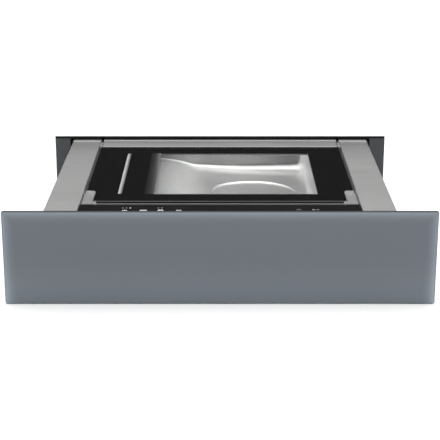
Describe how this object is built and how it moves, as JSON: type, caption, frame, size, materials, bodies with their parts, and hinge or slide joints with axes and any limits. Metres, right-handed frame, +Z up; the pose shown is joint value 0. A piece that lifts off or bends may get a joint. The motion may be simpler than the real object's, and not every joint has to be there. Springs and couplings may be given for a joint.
{
  "type": "vacuum sealing drawer",
  "caption": "Built-in kitchen drawer with a glass front, a hinged glass lid over a stepped vacuum chamber with a sealing bar, on telescopic slides in a niche casing.",
  "frame": {"origin": "centre of the casing's underside, where it rests on the floor of the niche", "axes": "+X to the right seen from the front, +Y into the niche, +Z up; the drawer opens towards -Y"},
  "size_m": [0.597, 0.984, 0.1345],
  "materials": {
    "white_paint": "fine satin powder coat",
    "black_paint": "fine matt paint",
    "galvanised_sheet": "satin, fine spangle",
    "dark_paint": "fine matt paint",
    "brushed_stainless": "brushed across the drawer",
    "slide_steel": "bright zinc",
    "cage_steel": "bright",
    "screw_steel": "bright",
    "grey_glass": "glass with a grey print on its back",
    "black_glass": "glass with a black print on its back",
    "lid_clear_glass": "clear toughened glass",
    "black_print": "black print under the glass",
    "grey_silicone": "matt silicone",
    "white_silicone": "matt silicone",
    "black_rubber": "matt",
    "hose_rubber": "smooth",
    "bar_aluminium": "satin",
    "heating_tape": "woven coated tape",
    "black_plastic": "fine grain",
    "grey_plastic": "fine grain",
    "circuit_board": "satin solder mask",
    "pump_casting": "cast",
    "motor_paint": "semi-gloss",
    "transformer_tape": "wound tape over copper"
  },
  "bodies": {
    "carcass": {"carcass_base": "white_paint", "carcass_side_left": "white_paint", "carcass_side_right": "white_paint", "carcass_top": "white_paint", "carcass_back": "white_paint", "front_flange_left": "dark_paint", "front_flange_right": "dark_paint", "front_top_band": "black_paint", "slide_brackets": "galvanised_sheet", "slide_outer_left": "slide_steel", "slide_outer_right": "slide_steel", "carcass_screws": "screw_steel", "cable_gland": "black_plastic", "latch_housing": "black_plastic"},
    "latch": {"latch_plunger": "grey_plastic"},
    "slide_middle_left": {"slide_mid_left": "slide_steel"},
    "slide_middle_right": {"slide_mid_right": "slide_steel"},
    "cages_outer": {"ball_cages_outer": "cage_steel"},
    "cages_inner": {"ball_cages_inner": "cage_steel"},
    "drawer": {"front_glass": "grey_glass", "front_backing": "galvanised_sheet", "front_liner": "galvanised_sheet", "front_buffers": "black_rubber", "front_brackets": "galvanised_sheet", "drawer_floor": "galvanised_sheet", "drawer_side_left": "galvanised_sheet", "drawer_side_right": "galvanised_sheet", "rail_cover_left": "brushed_stainless", "rail_cover_right": "brushed_stainless", "drawer_back": "galvanised_sheet", "latch_striker": "brushed_stainless", "tray_crossbars": "galvanised_sheet", "chamber_tray": "brushed_stainless", "chamber_gasket": "grey_silicone", "suction_port": "brushed_stainless", "hinge_brackets": "brushed_stainless", "hinge_pins": "screw_steel", "seal_actuators": "bar_aluminium", "control_glass": "black_glass", "control_carrier": "black_plastic", "touch_board": "circuit_board", "rear_cover": "brushed_stainless", "vacuum_pump": "pump_casting", "pump_motor": "motor_paint", "pump_mounts": "black_rubber", "transformer": "transformer_tape", "power_board": "circuit_board", "valve_block": "black_plastic", "vacuum_hose": "hose_rubber", "fan_frame": "black_plastic", "drawer_screws": "screw_steel", "slide_inner_left": "slide_steel", "slide_inner_right": "slide_steel"},
    "lid": {"lid_glass": "lid_clear_glass", "lid_film": "black_print", "lid_hinge_bar": "brushed_stainless", "counter_bar": "white_silicone"},
    "sealing_bar": {"seal_bar": "bar_aluminium", "seal_element": "heating_tape"},
    "fan": {"fan_rotor": "black_plastic"}
  },
  "joints": [
    {"name": "drawer_slide", "type": "slide", "parent": "carcass", "child": "drawer", "axis": [0, -1, 0], "range_m": [-0.42, 0]},
    {"name": "slide_left", "type": "slide", "parent": "carcass", "child": "slide_middle_left", "axis": [0, -1, 0], "range_m": [-0.21, 0]},
    {"name": "slide_right", "type": "slide", "parent": "carcass", "child": "slide_middle_right", "axis": [0, -1, 0], "range_m": [-0.21, 0]},
    {"name": "cages_outer_roll", "type": "slide", "parent": "carcass", "child": "cages_outer", "axis": [0, -1, 0], "range_m": [-0.105, 0]},
    {"name": "cages_inner_roll", "type": "slide", "parent": "carcass", "child": "cages_inner", "axis": [0, -1, 0], "range_m": [-0.315, 0]},
    {"name": "lid_hinge", "type": "hinge", "parent": "drawer", "child": "lid", "pos_m": [0, -0.2895, 0.1135], "axis": [-1, 0, 0], "range_deg": [0, 75]},
    {"name": "seal_lift", "type": "slide", "parent": "drawer", "child": "sealing_bar", "axis": [0, 0, 1], "range_m": [0, 0.0043]},
    {"name": "fan_spin", "type": "hinge", "parent": "drawer", "child": "fan", "pos_m": [0.15, -0.1855, 0.06], "axis": [0, 1, 0], "continuous": true},
    {"name": "latch_push", "type": "slide", "parent": "carcass", "child": "latch", "axis": [0, 1, 0], "range_m": [0, 0.0035], "stiffness_N_per_m": 300}
  ],
  "couplings": [
    {"joint": "slide_left", "follows": "drawer_slide", "ratio": 0.5},
    {"joint": "slide_right", "follows": "drawer_slide", "ratio": 0.5},
    {"joint": "cages_outer_roll", "follows": "drawer_slide", "ratio": 0.25},
    {"joint": "cages_inner_roll", "follows": "drawer_slide", "ratio": 0.75}
  ]
}
